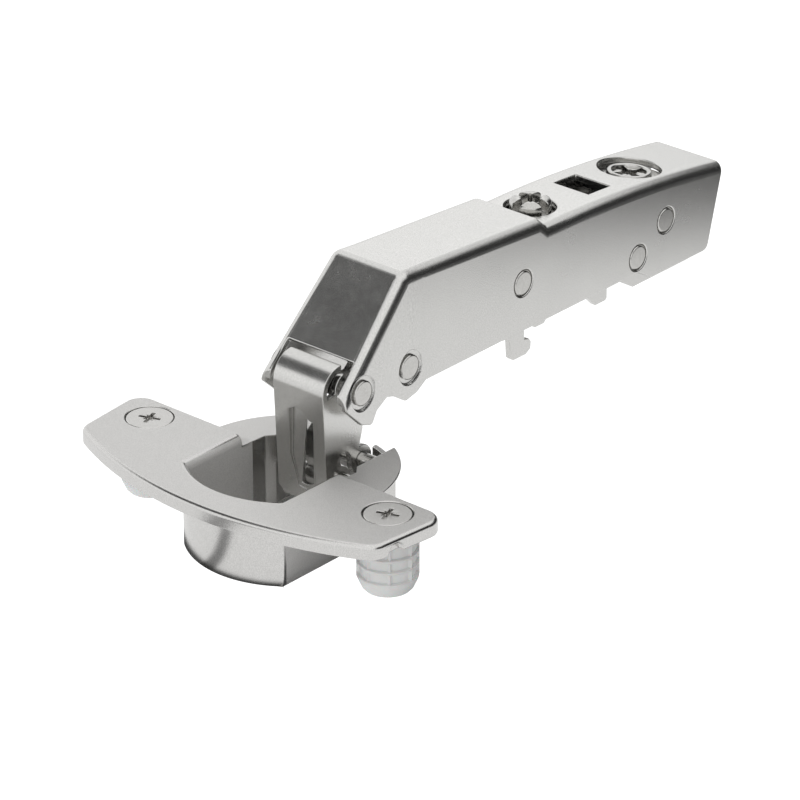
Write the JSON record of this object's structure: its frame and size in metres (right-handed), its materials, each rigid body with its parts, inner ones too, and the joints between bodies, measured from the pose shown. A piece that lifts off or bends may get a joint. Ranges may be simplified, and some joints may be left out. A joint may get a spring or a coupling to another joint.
{
  "type": "concealed cup hinge",
  "caption": "Concealed cabinet door hinge with a cup on a winged flange, a curved front link, and a long clip-on arm with side and depth adjusters.",
  "frame": {"origin": "axis of the 35 mm cup, in the plane of the door's back, which is the underside of the flange", "axes": "+Z leaves the door, +Y runs along the arm towards the door's edge, +X lies along the line of the two dowels"},
  "size_m": [0.067, 0.1269, 0.0426],
  "materials": {
    "nickel_cast": "satin nickel plate over a zinc casting",
    "nickel_sheet": "satin nickel plate over pressed steel sheet",
    "steel": "bright nickel plate",
    "spring_steel": "oiled spring wire",
    "grey_plastic": "moulded, matte",
    "nylon": "natural white, slightly translucent"
  },
  "bodies": {
    "door_side": {"cup_housing": "nickel_cast", "cup_pin_rear": "steel", "cup_pin_front": "steel", "dowel_left": "nylon", "dowel_right": "nylon", "dowel_screw_left": "steel", "dowel_screw_right": "steel"},
    "front_link_body": {"front_link": "nickel_sheet"},
    "inner_link_body": {"inner_link": "nickel_sheet"},
    "arm": {"arm_shell": "nickel_sheet", "nose_pin_front": "steel", "nose_pin_rear": "steel", "rivet_damper": "steel", "rivet_lower": "steel", "rivet_upper": "steel", "closing_spring": "spring_steel", "damper_cylinder": "grey_plastic", "screw_plate": "nickel_sheet", "cam_plate": "nickel_sheet"},
    "damper_plunger": {"damper_rod": "steel"},
    "side_screw_body": {"side_screw": "steel"},
    "depth_cam_body": {"depth_cam": "steel"},
    "block": {"slide_block": "nickel_cast"},
    "carrier_body": {"carrier": "nickel_sheet"},
    "lever": {"release_lever": "nickel_sheet"}
  },
  "joints": [
    {"name": "link_turn", "type": "hinge", "parent": "door_side", "child": "front_link_body", "pos_m": [0, 0.0115, -0.0012], "axis": [1, 0, 0], "range_deg": [-16.47, 74.1]},
    {"name": "inner_link_turn", "type": "hinge", "parent": "door_side", "child": "inner_link_body", "pos_m": [0, 0.0092, -0.005], "axis": [1, 0, 0], "range_deg": [-14.95, 67.25]},
    {"name": "arm_turn", "type": "hinge", "parent": "front_link_body", "child": "arm", "pos_m": [0, 0.008, 0.0131], "axis": [1, 0, 0], "range_deg": [-3.55, 15.95]},
    {"name": "damper_push", "type": "slide", "parent": "arm", "child": "damper_plunger", "axis": [0, 1, 0], "range_m": [0, 0.005], "stiffness_N_per_m": 60, "springref_m": -0.001},
    {"name": "side_screw_turn", "type": "hinge", "parent": "arm", "child": "side_screw_body", "pos_m": [0, 0.0606, 0.0259], "axis": [0, 0, 1], "range_deg": [-250, 250]},
    {"name": "depth_cam_turn", "type": "hinge", "parent": "arm", "child": "depth_cam_body", "pos_m": [0, 0.0874, 0.0243], "axis": [0, 0.1045, 0.9945], "range_deg": [-46, 46]},
    {"name": "depth_slide", "type": "slide", "parent": "arm", "child": "block", "axis": [0, 1, 0], "range_m": [-0.0015, 0.0015]},
    {"name": "overlay_tilt", "type": "hinge", "parent": "block", "child": "carrier_body", "pos_m": [0, 0.095, 0.0168], "axis": [1, 0, 0], "range_deg": [-1.2, 1.2]},
    {"name": "lever_turn", "type": "hinge", "parent": "carrier_body", "child": "lever", "pos_m": [0, 0.0956, 0.0112], "axis": [1, 0, 0], "range_deg": [0, 8], "stiffness_Nm_per_rad": 0.02, "springref_deg": -5.73}
  ],
  "couplings": [
    {"joint": "inner_link_turn", "follows": "link_turn", "ratio": 0.9069},
    {"joint": "arm_turn", "follows": "link_turn", "ratio": 0.2146},
    {"joint": "depth_cam_turn", "follows": "depth_slide", "rad_per_m": 523.6},
    {"joint": "side_screw_turn", "follows": "overlay_tilt", "ratio": 200}
  ]
}
